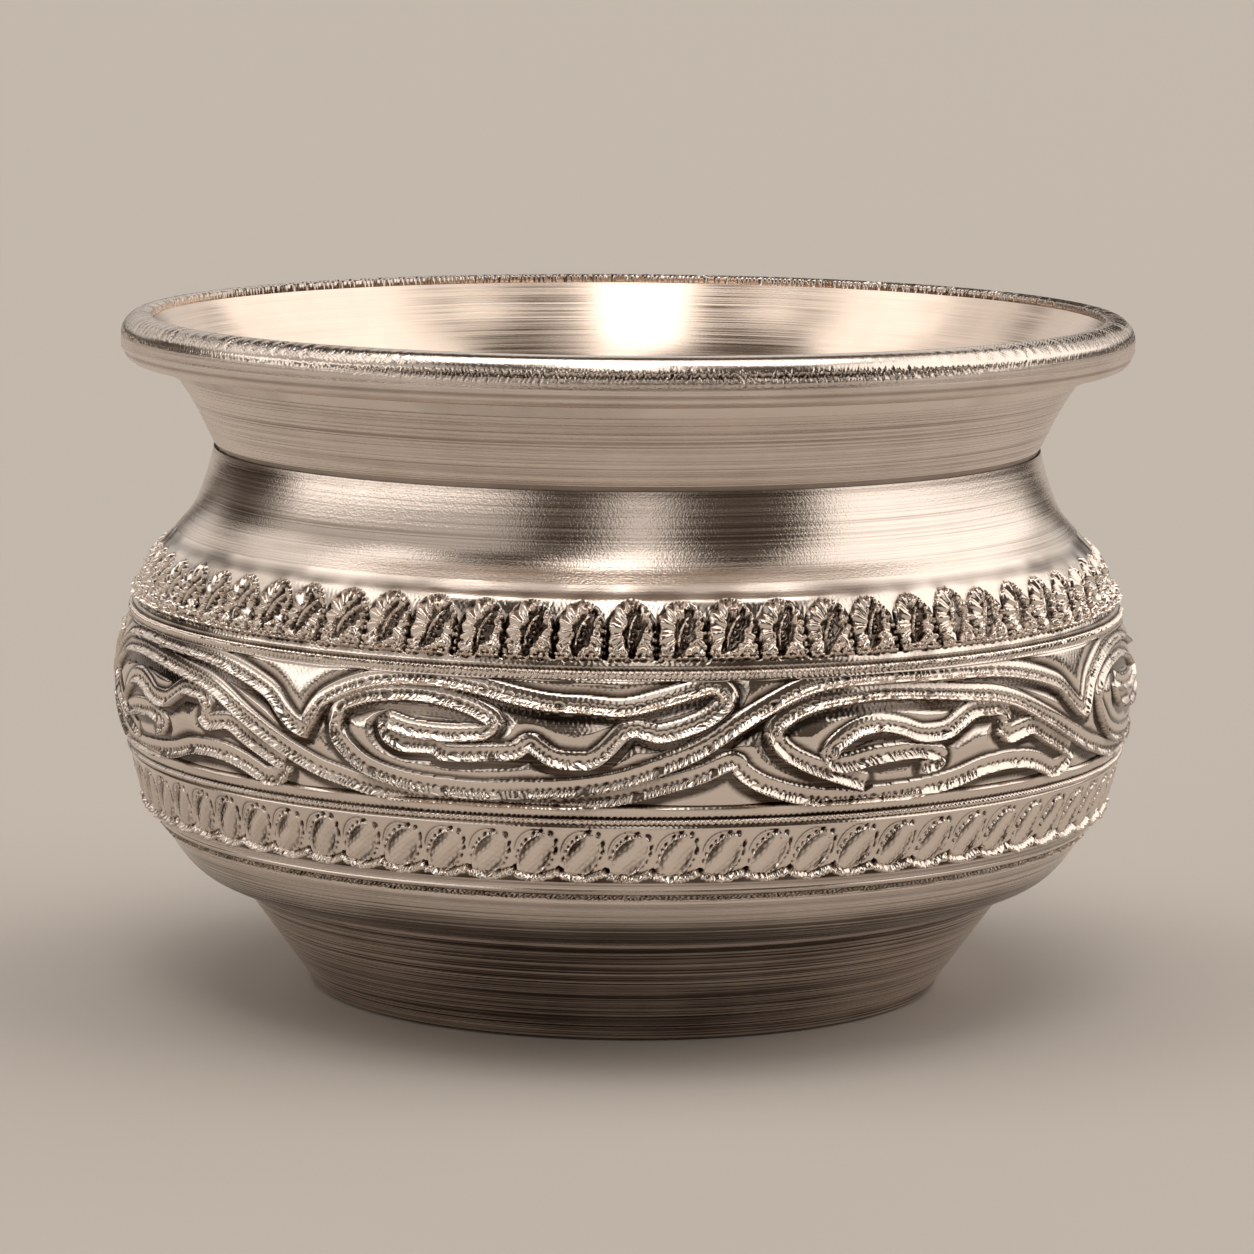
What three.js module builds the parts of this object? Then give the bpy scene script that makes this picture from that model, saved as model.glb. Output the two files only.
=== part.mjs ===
// A small footed bowl for kumkum powder, soldered up from turned and chased sheet. Millimetres, +Z up.
// The origin is the middle of the flat underside of the foot.
import * as THREE from 'three';

// Sheet and joints
const wall = 0.7;              // thickness of every sheet
const solderFilm = 0.12;       // solder between the two sheets of a lap joint
const solderGap = 0.3;         // width of the seam that shows between two sheets
const lapLength = 1.6;         // how far a tongue reaches into the next sheet
const seamRecess = 0.14;       // how far the waist seam lies below the sheets beside it
const seamCrown = 0.06;        // how far the belly and foot seams stand proud

// Body outline, from the crease over the foot up to the waist: each station's rise above
// the station before it, and how far it lies inside the belly's radius
const bellyRadius = 30.15;
const footHeight = 6.4;
const creaseInset = 7.05;
const dishRise = 0.95;
const dishInset = 4.55;
const seamRise = 2.65;
const seamInset = 2.5;
const lowerBorderRise = 4.8;
const lowerBorderInset = 0.63;
const bellyRise = 3.8;
const upperBorderRise = 4.3;
const upperBorderInset = 0.88;
const shoulderRise = 3.65;
const shoulderInset = 2.55;
const neckRise = 2.4;
const neckInset = 4.75;
const waistRise = 3.25;
const waistInset = 5.6;

// Foot
const footFlare = 4.2;         // how far the foot widens up to the crease
const footCorner = 0.6;        // radius of the bottom corner

// Mouth collar, above the waist seam
const flareRise = 2.7;
const flareSpread = 1.4;       // how far the flare lies outside the waist's radius
const lipRise = 4.0;
const lipSpread = 2.85;        // how far the lip lies outside the flare

// Rim wire
const wireOverhang = 1.2;      // how far the wire stands outside the lip
const wireRise = 0.95;         // how far its crown stands above the lip
const wireDepth = 2.85;        // height of its section
const wireCrown = 1.3;         // radius of its bright-cut top
const wireEdge = 0.9;          // radius of its lower outer edge
const wireTaper = 0.1;         // how far the lower edge lies inside the rim's radius
const rimSeamDrop = 0.6;       // how far the seam under the wire reaches down the collar
const rimSeamWidth = 0.22;     // how far that seam stands out from the collar

// Chased borders of the belly
const ridgeWidth = 1.0;        // height of one milled ridge, across the body
const ridgeRelief = 0.22;      // how far a ridge stands out

// Facets
const segments = 60;           // columns of a turned piece

// Heights and radii that follow
const dishHeight = footHeight + dishRise;
const seamHeight = dishHeight + seamRise;
const lowerBorderHeight = seamHeight + lowerBorderRise;
const bellyHeight = lowerBorderHeight + bellyRise;
const upperBorderHeight = bellyHeight + upperBorderRise;
const shoulderHeight = upperBorderHeight + shoulderRise;
const neckHeight = shoulderHeight + neckRise;
const waistHeight = neckHeight + waistRise;
const collarFoot = waistHeight + solderGap;
const flareHeight = collarFoot + flareRise;
const lipHeight = flareHeight + lipRise;
const rimHeight = lipHeight + wireRise;
const wireFoot = rimHeight - wireDepth;

const creaseRadius = bellyRadius - creaseInset;
const footRadius = creaseRadius - footFlare;
const waistRadius = bellyRadius - waistInset;
const flareRadius = waistRadius + flareSpread;
const lipRadius = flareRadius + lipSpread;
const rimRadius = lipRadius + wireOverhang;

const point = (radius, height) => new THREE.Vector2(radius, height);

// A smooth outline through stations of radius and height
function outlineThrough(stations) {
  const places = stations.map(([radius, height]) => new THREE.Vector3(radius, height, 0));
  return new THREE.CatmullRomCurve3(places, false, 'centripetal');
}

// Outlines of the outer faces, each from its lower to its upper end
const bodyOutline = outlineThrough([
  [creaseRadius, footHeight],
  [bellyRadius - dishInset, dishHeight],
  [bellyRadius - seamInset, seamHeight],
  [bellyRadius - lowerBorderInset, lowerBorderHeight],
  [bellyRadius, bellyHeight],
  [bellyRadius - upperBorderInset, upperBorderHeight],
  [bellyRadius - shoulderInset, shoulderHeight],
  [bellyRadius - neckInset, neckHeight],
  [waistRadius, waistHeight],
]);

const collarOutline = outlineThrough([
  [waistRadius, collarFoot],
  [flareRadius, flareHeight],
  [lipRadius, lipHeight],
]);

const footOutline = new THREE.LineCurve3(
  new THREE.Vector3(footRadius, footCorner, 0),
  new THREE.Vector3(creaseRadius, footHeight, 0),
);

// Where an outline has a given height, as its curve parameter
function parameterAt(outline, height) {
  let low = 0;
  let high = 1;
  for (let step = 0; step < 40; step += 1) {
    const middle = (low + high) / 2;
    if (outline.getPoint(middle).y < height) low = middle;
    else high = middle;
  }
  return (low + high) / 2;
}

// The point a given depth inside an outline's outer face
function inside(outline, parameter, depth) {
  const place = outline.getPoint(parameter);
  const along = outline.getTangent(parameter);
  return point(place.x - along.y * depth, place.y + along.x * depth);
}

// Where the face at a given depth inside an outline has a given height
function insideAt(outline, height, depth) {
  let low = -1;
  let high = 1;
  for (let step = 0; step < 40; step += 1) {
    const middle = (low + high) / 2;
    if (inside(outline, middle, depth).y < height) low = middle;
    else high = middle;
  }
  return inside(outline, (low + high) / 2, depth);
}

// Points along an outline at one depth, from one parameter to another
function stretch(outline, from, to, steps, depth) {
  const points = [];
  for (let step = 0; step <= steps; step += 1) {
    points.push(inside(outline, from + (to - from) * step / steps, depth));
  }
  return points;
}

// Points of a round corner
function arc(centreRadius, centreHeight, radius, fromDegrees, toDegrees, steps) {
  const points = [];
  for (let step = 0; step <= steps; step += 1) {
    const angle = THREE.MathUtils.degToRad(fromDegrees + (toDegrees - fromDegrees) * step / steps);
    points.push(point(centreRadius + radius * Math.cos(angle), centreHeight + radius * Math.sin(angle)));
  }
  return points;
}

// A turned solid from its section, whose points run anticlockwise with the axis on their left
function turned(section) {
  const onAxis = section[0].x === 0;
  const loop = onAxis ? section : [...section, section[0]];
  const geometry = new THREE.LatheGeometry(loop, segments);
  geometry.rotateX(Math.PI / 2);
  return geometry;
}

// Metals
function metal(colour, roughness) {
  return new THREE.MeshStandardMaterial({ color: colour, metalness: 1, roughness });
}
const polished = metal(0xd9d0c6, 0.2);
const satin = metal(0xc4b8ab, 0.42);
const brightCut = metal(0xe0d6cb, 0.3);
const solder = metal(0xaba093, 0.55);

const tongueDepth = wall + solderFilm;

// Where the sheets and their tongues end on the outlines that they follow
const bellyFoot = parameterAt(bodyOutline, seamHeight + solderGap / 2);
const dishTop = parameterAt(bodyOutline, seamHeight - solderGap / 2);
const dishTongueTop = parameterAt(bodyOutline, seamHeight + solderGap / 2 + lapLength);
const dishShoulder = parameterAt(bodyOutline, seamHeight - lapLength);
const dishFloorEnd = parameterAt(bodyOutline, footHeight + wall / 2);
const collarTongueEnd = parameterAt(bodyOutline, waistHeight - lapLength);
const footTop = 1 - solderGap / footOutline.getLength();
const dishTongueEnd = footTop - lapLength / footOutline.getLength();
const dishTongueRoot = 1 + wall / 2 / footOutline.getLength();

// The radius where the collar steps in to its tongue
const collarTongueRadius = inside(bodyOutline, 1, tongueDepth).x;

// Where the wire and the seam under it sit on the collar
const wireFootOnCollar = parameterAt(collarOutline, wireFoot);
const rimSeamFoot = parameterAt(collarOutline, wireFoot - rimSeamDrop);
const wireSeat = stretch(collarOutline, wireFootOnCollar, 1, 2, 0);

function buildFootPan() {
  const floorRadius = footRadius - footCorner;
  return turned([
    point(0, 0),
    point(floorRadius, 0),
    ...arc(floorRadius, footCorner, footCorner, -60, 0, 2),
    inside(footOutline, footTop, 0),
    inside(footOutline, footTop, wall),
    inside(footOutline, dishTongueEnd, wall),
    insideAt(footOutline, wall, wall),
    point(0, wall),
  ]);
}

function buildBaseDish() {
  return turned([
    ...stretch(bodyOutline, 0, dishTop, 5, 0),
    inside(bodyOutline, dishTop, tongueDepth),
    inside(bodyOutline, dishTongueTop, tongueDepth),
    inside(bodyOutline, dishTongueTop, tongueDepth + wall),
    inside(bodyOutline, dishTop, tongueDepth + wall),
    ...stretch(bodyOutline, dishShoulder, dishFloorEnd, 3, wall),
    inside(footOutline, dishTongueRoot, tongueDepth + wall),
    inside(footOutline, dishTongueEnd, tongueDepth + wall),
    inside(footOutline, dishTongueEnd, tongueDepth),
    inside(footOutline, 1, tongueDepth),
  ]);
}

function buildFootSolder() {
  return turned([
    inside(footOutline, footTop, 0),
    inside(footOutline, (1 + footTop) / 2, -seamCrown),
    inside(footOutline, 1, 0),
    inside(footOutline, 1, tongueDepth),
    inside(footOutline, dishTongueEnd, tongueDepth),
    inside(footOutline, dishTongueEnd, wall),
    inside(footOutline, footTop, wall),
  ]);
}

function buildBellySolder() {
  return turned([
    inside(bodyOutline, dishTop, 0),
    inside(bodyOutline, (dishTop + bellyFoot) / 2, -seamCrown),
    inside(bodyOutline, bellyFoot, 0),
    inside(bodyOutline, bellyFoot, wall),
    inside(bodyOutline, dishTongueTop, wall),
    inside(bodyOutline, dishTongueTop, tongueDepth),
    inside(bodyOutline, dishTop, tongueDepth),
  ]);
}

// One milled ridge: its lower edge, crown and upper edge, around a height on the body
function ridge(height) {
  const low = parameterAt(bodyOutline, height - ridgeWidth / 2);
  const high = parameterAt(bodyOutline, height + ridgeWidth / 2);
  const crown = (low + high) / 2;
  return [
    inside(bodyOutline, low, 0),
    inside(bodyOutline, crown, -ridgeRelief),
    inside(bodyOutline, high, 0),
  ];
}

function buildBellyShell() {
  const lowerRidge = ridge(lowerBorderHeight);
  const upperRidge = ridge(upperBorderHeight);
  const panelLow = parameterAt(bodyOutline, lowerRidge[2].y);
  const panelHigh = parameterAt(bodyOutline, upperRidge[0].y);
  const petalsLow = parameterAt(bodyOutline, upperRidge[2].y);
  const scrollPanel = stretch(bodyOutline, panelLow, panelHigh, 5, 0).slice(1, -1);
  return turned([
    ...stretch(bodyOutline, bellyFoot, parameterAt(bodyOutline, lowerRidge[0].y), 3, 0).slice(0, -1),
    ...lowerRidge,
    ...scrollPanel,
    ...upperRidge,
    ...stretch(bodyOutline, petalsLow, 1, 7, 0).slice(1),
    inside(bodyOutline, 1, wall),
    ...stretch(bodyOutline, collarTongueEnd, dishTongueTop, 8, wall),
    inside(bodyOutline, bellyFoot, wall),
  ]);
}

function buildWaistSolder() {
  return turned([
    inside(bodyOutline, 1, seamRecess),
    point(waistRadius - seamRecess, collarFoot),
    point(collarTongueRadius, collarFoot),
    inside(bodyOutline, 1, tongueDepth),
    inside(bodyOutline, collarTongueEnd, tongueDepth),
    inside(bodyOutline, collarTongueEnd, wall),
    inside(bodyOutline, 1, wall),
  ]);
}

function buildMouthCollar() {
  return turned([
    ...stretch(collarOutline, 0, rimSeamFoot, 4, 0),
    ...wireSeat,
    ...stretch(collarOutline, 1, parameterAt(collarOutline, collarFoot + 2 * wall), 5, wall),
    point(collarTongueRadius - wall, collarFoot),
    inside(bodyOutline, collarTongueEnd, tongueDepth + wall),
    inside(bodyOutline, collarTongueEnd, tongueDepth),
    inside(bodyOutline, 1, tongueDepth),
    point(collarTongueRadius, collarFoot),
  ]);
}

function buildRimSolder() {
  return turned([
    inside(collarOutline, rimSeamFoot, 0),
    inside(collarOutline, rimSeamFoot, -rimSeamWidth),
    point(wireSeat[0].x + rimSeamWidth, wireFoot),
    wireSeat[0],
  ]);
}

function buildRimWire() {
  const edgeRadius = rimRadius - wireTaper - wireEdge;
  return turned([
    wireSeat[0],
    ...arc(edgeRadius, wireFoot + wireEdge, wireEdge, -90, -15, 3),
    ...arc(rimRadius - wireCrown, rimHeight - wireCrown, wireCrown, -15, 115, 7),
    inside(collarOutline, 1, wall),
    ...wireSeat.slice(1).reverse(),
  ]);
}

const bowl = new THREE.Group();
bowl.name = 'kumkum_bowl';

function add(name, geometry, material) {
  const mesh = new THREE.Mesh(geometry, material);
  mesh.name = name;
  bowl.add(mesh);
}

add('foot_pan', buildFootPan(), satin);
add('foot_solder', buildFootSolder(), solder);
add('base_dish', buildBaseDish(), satin);
add('belly_solder', buildBellySolder(), solder);
add('belly_shell', buildBellyShell(), polished);
add('waist_solder', buildWaistSolder(), solder);
add('mouth_collar', buildMouthCollar(), satin);
add('rim_solder', buildRimSolder(), solder);
add('rim_wire', buildRimWire(), brightCut);

export default bowl;
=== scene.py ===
# The looks of a chased white-metal bowl for kumkum powder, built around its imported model.
# Lengths are in millimetres until a mesh is written, angles in degrees from the front (-Y)
# towards +X, and heights above the table.
import math

import bpy
import numpy as np
from mathutils import Matrix, Vector


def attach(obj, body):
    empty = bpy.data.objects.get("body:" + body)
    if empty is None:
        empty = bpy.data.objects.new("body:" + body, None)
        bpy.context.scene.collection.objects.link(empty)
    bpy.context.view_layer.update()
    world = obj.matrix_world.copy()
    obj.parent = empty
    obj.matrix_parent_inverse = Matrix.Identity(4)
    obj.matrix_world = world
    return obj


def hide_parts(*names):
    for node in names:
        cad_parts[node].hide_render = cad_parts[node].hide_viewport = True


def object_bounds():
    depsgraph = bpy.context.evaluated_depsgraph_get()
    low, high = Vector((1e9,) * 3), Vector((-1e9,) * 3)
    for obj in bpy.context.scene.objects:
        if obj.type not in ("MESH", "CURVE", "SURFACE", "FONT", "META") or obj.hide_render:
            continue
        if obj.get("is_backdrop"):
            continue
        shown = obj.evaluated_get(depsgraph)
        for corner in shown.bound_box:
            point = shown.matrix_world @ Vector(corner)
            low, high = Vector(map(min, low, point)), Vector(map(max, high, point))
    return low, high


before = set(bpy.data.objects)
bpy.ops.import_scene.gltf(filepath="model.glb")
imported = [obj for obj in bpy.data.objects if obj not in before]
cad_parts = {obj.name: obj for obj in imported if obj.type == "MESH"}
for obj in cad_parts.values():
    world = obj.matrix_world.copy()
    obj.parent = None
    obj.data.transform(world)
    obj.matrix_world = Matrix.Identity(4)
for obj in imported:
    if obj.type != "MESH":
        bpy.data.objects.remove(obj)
cad_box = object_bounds()

MM = 0.001
rng = np.random.default_rng(7)

# Outlines of the sheet pieces, as radius and height at the stations of the solid model
CREASE = (23.1, 6.4)
BODY_STATIONS = [CREASE, (25.6, 7.35), (27.65, 10.0), (29.52, 14.8), (30.15, 18.6),
                 (29.27, 22.9), (27.6, 26.55), (25.4, 28.95), (24.55, 32.2)]
COLLAR_STATIONS = [(24.55, 32.5), (25.95, 35.2), (28.8, 39.2)]
FOOT_RADIUS = 18.9
LATHE_LINES = (5.6, 4.45, 3.9, 3.3, 2.56)      # heights of the thin turned lines on the foot
WALL = 0.7
SEAM_GAP = 0.3
SEAM_HEIGHT = 10.0
WAIST_HEIGHT = 32.2

# Chased zones of the belly, by height
HEM_TOP = 10.9
LOWER_PETALS = (11.06, 14.1)
LOWER_BORDER = (14.15, 15.4)
UPPER_BORDER = (22.32, 23.5)
UPPER_PETALS = (23.56, 26.6)
SHOULDER_FOOT = 27.4
LOWER_PETAL_COUNT = 70
UPPER_PETAL_COUNT = 64
PETAL_LIFT = 0.16                              # how far the lower petals' field is raised

# Fineness of the meshes: columns round the bowl, and the height of a row of the chasing
COLUMNS = 2880
SEAM_COLUMNS = 2880
RIM_COLUMNS = 3200
RIM_SECTORS = 4
PLAIN_COLUMNS = 600
ROW_STEP = 0.07
LINING_STRIDE = 10                             # rows of the outer face to one of the lining

MEAN_RADIUS = 29.6                             # turns angles into lengths on the belly
RIM_RADIUS = 29.5


# Curves

def smooth_curve(points, steps=24):
    """Points along a centripetal Catmull-Rom curve through the given ones."""
    given = np.asarray(points, float)
    ends = np.vstack([2 * given[0] - given[1], given, 2 * given[-1] - given[-2]])
    t = np.linspace(0, 1, steps, endpoint=False)[:, None]
    pieces = []
    for a, b, c, d in zip(ends, ends[1:], ends[2:], ends[3:]):
        before, span, after = (max(np.linalg.norm(q - p) ** 0.5, 1e-6)
                               for p, q in ((a, b), (b, c), (c, d)))
        leave = ((b - a) / before - (c - a) / (before + span) + (c - b) / span) * span
        arrive = ((c - b) / span - (d - b) / (span + after) + (d - c) / after) * span
        pieces.append(b + leave * t + (3 * (c - b) - 2 * leave - arrive) * t ** 2
                      + (2 * (b - c) + leave + arrive) * t ** 3)
    return np.vstack([*pieces, given[-1:]])


def evenly(curve, spacing):
    """The same curve in steps of equal length."""
    lengths = np.r_[0, np.cumsum(np.linalg.norm(np.diff(curve, axis=0), axis=1))]
    places = np.linspace(0, lengths[-1], max(2, int(lengths[-1] / spacing) + 1))
    return np.stack([np.interp(places, lengths, axis) for axis in curve.T], 1)


def between(curve, low, high, spacing=0.2):
    """The part of a rising curve between two heights."""
    middle = curve[(curve[:, 1] > low) & (curve[:, 1] < high)]
    ends = [[np.interp(h, curve[:, 1], curve[:, 0]), h] for h in (low, high)]
    return evenly(np.vstack([ends[0], middle, ends[1]]), spacing)


def parallel(curve, depth):
    """A rising curve moved towards the axis by a depth."""
    travel = np.gradient(curve, axis=0)
    travel /= np.linalg.norm(travel, axis=1)[:, None]
    return curve + depth * np.stack([-travel[:, 1], travel[:, 0]], 1)


BODY = smooth_curve(BODY_STATIONS, 60)
COLLAR = smooth_curve(COLLAR_STATIONS, 60)


# How far the shoulder stands out, and at which height: it swells a little towards the waist and
# dips to the petals' tips
SWELL = smooth_curve([(0, 25.8), (-0.04, 26.4), (-0.12, 27.0), (-0.02, 27.8), (0.13, 28.6),
                      (0.18, 29.2), (0.15, 30.0), (0.05, 31.0), (0, 31.7), (0, 32.3)], 12)


def swell(height):
    return np.interp(height, SWELL[:, 1], SWELL[:, 0])


# Shapes of relief, all made from distances in millimetres

def bump(distance, width):
    """A soft bell, one at the middle."""
    return np.exp(-(distance / width) ** 2)


def hill(distance, half_width):
    """A round-backed ridge, one at the middle and nought from the half width on."""
    return np.sqrt(np.clip(1 - (distance / half_width) ** 2, 0, 1))


def step(value, edge, softness):
    """Nought below the edge and one above it."""
    return 0.5 + 0.5 * np.tanh((value - edge) / softness)


def teeth(turns):
    """Evenly spaced round teeth, one at every whole turn."""
    return 0.5 + 0.5 * np.cos(2 * math.pi * turns)


def ripple(angle, height, waves, turns, rise):
    """Smooth uneven waves that close on themselves round the bowl, about -1 to 1."""
    total = 0
    for _ in range(waves):
        around_turns = rng.integers(turns // 2, turns)
        slope = rng.uniform(-rise, rise)
        phase = rng.uniform(0, 2 * math.pi)
        total = total + np.cos(np.radians(angle) * around_turns + slope * height + phase)
    return total / math.sqrt(waves)


def wrapped(angle):
    return (angle + 180) % 360 - 180


def blurred(grid, reach):
    """Running averages over a square, closing on itself from side to side."""
    for _ in range(2):
        rows_padded = np.pad(grid, ((reach + 1, reach), (0, 0)), mode="edge").cumsum(0)
        grid = (rows_padded[2 * reach + 1:] - rows_padded[:-2 * reach - 1]) / (2 * reach + 1)
        sides_padded = np.pad(grid, ((0, 0), (reach + 1, reach)), mode="wrap").cumsum(1)
        grid = (sides_padded[:, 2 * reach + 1:] - sides_padded[:, :-2 * reach - 1]) / (2 * reach + 1)
    return grid


# The chased surface: heights above the body's outline on a grid of rows and columns

angles = np.arange(COLUMNS) * 360 / COLUMNS - 180
rows = np.arange(HEM_TOP, SHOULDER_FOOT + ROW_STEP / 2, ROW_STEP)
ANGLE, HEIGHT = np.meshgrid(angles, rows)


def lower_petal(x, y, lean, phase):
    """A folded oval that leans to the right in a smooth field, with pits round its upper side
    and fine arcs above: x across and y up from its middle."""
    side = x * np.cos(lean) - y * np.sin(lean)
    length = x * np.sin(lean) + y * np.cos(lean)
    hollow = np.hypot(side / 0.78, length / 1.3)
    around = np.arctan2(length, side)
    upper = 0.5 + 0.5 * np.cos(around - 2.0)
    fold = 0.22 * (1 - np.abs(side - 0.08 + 0.06 * np.sin(3 * length + 9 * phase)) / 0.78)
    streaks = 0.05 * teeth(2 * length + 3 * side + phase) * teeth(4 * side - length + 2 * phase)
    uneven = np.sin(3 * around + 9 * phase) + 0.6 * np.sin(7 * around + 5 * phase)
    pits = teeth((around * 16 + uneven) / (2 * math.pi)) ** 2 * (0.4 + 0.6 * upper)
    oval = np.hypot(x / 1.27, y / 1.48)
    arcs = 0.07 * bump(oval - 0.97, 0.035) + 0.04 * bump(oval - 0.86, 0.03)
    relief = (fold - 0.11 + streaks) * step(1.0, hollow, 0.05) + 0.1 * bump(hollow - 1.06, 0.06)
    return relief - 0.2 * pits * bump(hollow - 1.2, 0.09) - arcs * step(y, 0.2, 0.2)


def upper_petal(x, y, lean, phase):
    """A leaning shell round a dark hollow, with flutes that run out from the hollow and notch
    the shell's edge: x across and y up from its foot."""
    turn = math.radians(lean)
    side = (x - 0.14) * math.cos(turn) - (y - 1.3) * math.sin(turn)
    length = (x - 0.14) * math.sin(turn) + (y - 1.3) * math.cos(turn)
    around = np.arctan2(length * 0.6, side)
    flute = teeth(around * 17 / (2 * math.pi) + phase + 0.25 * np.sin(3 * around + 9 * phase))
    reach = np.hypot(x / 1.34, np.maximum(y - 1.45, 0) / 1.5) + 0.05 * (1 - flute) * step(y, 1.2, 0.3)
    ragged = 1 + 0.12 * np.sin(4 * around + 20 * phase) + 0.1 * np.sin(7 * around + 9 * phase)
    hollow = np.hypot(side / (0.5 + 0.12 * length), length / 1.2) * ragged
    shell = 0.28 * np.sqrt(np.clip(1 - reach ** 4, 0, 1)) - 0.46 * step(1.0, hollow, 0.12)
    grooves = -0.17 * (1 - flute) * step(hollow, 0.95, 0.12) * step(y, 0.5, 0.2)
    vein = 0.3 * hill(side + 0.22 - 0.22 * length ** 2, 0.1) * hill(length, 1.05)
    return shell + grooves + vein, reach


def lay_lower_petals(surface):
    """Leaning ovals above a scalloped edge with bright beads, a hole between each two."""
    count = LOWER_PETAL_COUNT
    pitch = math.radians(360 / count) * MEAN_RADIUS
    low, high = LOWER_PETALS
    band = (rows > low - 0.5) & (rows < high + 0.25)
    y = HEIGHT[band] - (low + high) / 2
    place = ANGLE[band] * count / 360 - 0.12
    index = np.round(place).astype(int)
    x = (place - index) * pitch
    spread = rng.normal(0, 1, (3, count))[:, index % count]
    petals = lower_petal(x, y + 0.03 * spread[0], math.radians(37) + 0.06 * spread[1], spread[2])
    gap = np.hypot(np.abs(x) - pitch / 2, (y + 0.82 + 0.05 * spread[0]) * 0.9)
    holes = 0.3 * bump(gap, 0.13) - 0.07 * bump(gap - 0.24, 0.06)
    scallop = (x + 0.2) / (pitch / 2)
    edge = y + 1.5 - 0.42 * scallop ** 2 / (1 + 0.25 * scallop ** 2)
    beads = teeth(ANGLE[band] * 620 / 360 + 0.3 * spread[1] + 0.5 * np.sin(ANGLE[band] * 1.9))
    bright = (0.2 + 0.14 * beads) * hill(edge - 0.17, 0.17) - 0.1 * bump(edge - 0.42, 0.06)
    lifted = step(edge, 0, 0.03) * step(high - (low + high) / 2 + 0.12, y, 0.05)
    undercut = 0.08 * bump(edge + 0.09, 0.07)
    surface[band] += (petals - holes + bright + PETAL_LIFT + 0.1 * step(0, y, 0.5)) * lifted - undercut


def lay_upper_petals(surface):
    """Fluted shells side by side, each laid over its neighbour where it reaches further."""
    count = UPPER_PETAL_COUNT
    pitch = 360 / count
    low, high = UPPER_PETALS
    band = (rows > low - 0.1) & (rows < high + 0.8)
    y = HEIGHT[band] - low
    petals = np.zeros(y.shape)
    edge = np.full(y.shape, 9.0)
    for index in range(count):
        centre = 0.6 + pitch * index + rng.normal(0, 0.12)
        near = np.abs(wrapped(angles - centre)) < 1.2 * pitch
        x = np.radians(wrapped(ANGLE[band][:, near] - centre)) * MEAN_RADIUS * 0.97
        shape, reach = upper_petal(x * rng.normal(1, 0.04), y[:, near] * rng.normal(1, 0.02),
                                   rng.normal(24, 6), rng.uniform(0, 1))
        mine = reach < edge[:, near]
        petals[:, near] = np.where(mine, shape, petals[:, near])
        edge[:, near] = np.where(mine, reach, edge[:, near])
    seams = -0.2 * bump(edge - 1.02, 0.06) * step(1.9, y, 0.3)
    surface[band] += petals * step(1.0, edge, 0.03) + seams
    lay_pearls(surface, count, low)


def lay_pearls(surface, count, low):
    """Pearls along the foot of the upper petals, up the gaps between them and inside."""
    pitch = 360 / count
    gap = [(0.5, 0.22), (0.46, 0.6), (0.5, 0.98), (0.47, 1.36), (0.38, 1.7), (-0.4, 0.5)]
    foot = [(place / 6 - 0.42, 0.06) for place in range(6)]
    pebbles = [(0.1, 0.36), (0.24, 0.5)]
    flecks = [(0.02, 1.0), (0.08, 1.35), (0.12, 1.75)]
    for index in range(count):
        for places, size, lift in ((gap, 0.17, 0.22), (foot, 0.15, 0.18), (pebbles, 0.22, 0.2),
                                   (flecks, 0.1, 0.2)):
            for across, up in places:
                angle = 0.6 + pitch * (index + across) + rng.normal(0, 0.12)
                add_pearl(surface, angle, low + up + rng.normal(0, 0.04),
                          size * rng.normal(1, 0.1), lift)


def add_pearl(surface, angle, height, size, lift):
    """One round grain on the grid. It reaches five rows and columns from its middle."""
    reach = 5
    row = round((height - rows[0]) / ROW_STEP)
    column = round((angle - angles[0]) * COLUMNS / 360)
    low, high = max(row - reach, 0), min(row + reach + 1, len(rows))
    columns = np.arange(column - reach, column + reach + 1) % COLUMNS
    x = np.radians(wrapped(angles[columns] - angle))[None, :] * MEAN_RADIUS
    y = (rows[low:high] - height)[:, None]
    distance = np.hypot(x, y)
    ring = 0.08 * bump(distance - 1.3 * size, 0.04)
    surface[low:high, columns] += lift * hill(distance, size) - ring


def lay_border(surface, bounds, rope_width):
    """A smooth strip, a row of fine punch marks, a rope of slanting strokes and a thin edge."""
    low, high = bounds
    band = (rows > low - 0.3) & (rows < high + 0.3)
    y = HEIGHT[band] - (low + high) / 2
    stroke_pitch = 360 / 600
    uneven = 0.2 * ripple(ANGLE[band], 0, 6, 160, 0)
    strokes = teeth(ANGLE[band] / stroke_pitch - 0.9 * y + uneven)
    marks = teeth(ANGLE[band] / stroke_pitch + 0.3 + uneven)
    strip = 0.14 * hill(y - 0.36, 0.34) ** 0.6
    rope = (0.13 + 0.15 * strokes) * hill(y + 0.2, rope_width)
    rim = 0.12 * hill(y + 0.5, 0.1)
    punched = 0.1 * (1 - marks) * bump(y - 0.06, 0.06)
    grooves = 0.14 * bump(y - 0.72, 0.05)
    surface[band] += np.maximum(np.maximum(strip, rope), rim) - punched - grooves


# The scroll between the borders repeats with each pair of leaves. A line is a list of angles
# and heights. It has a flat strip on its upper side, a row of punch marks in the middle and a
# bright bead on its lower side.

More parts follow.
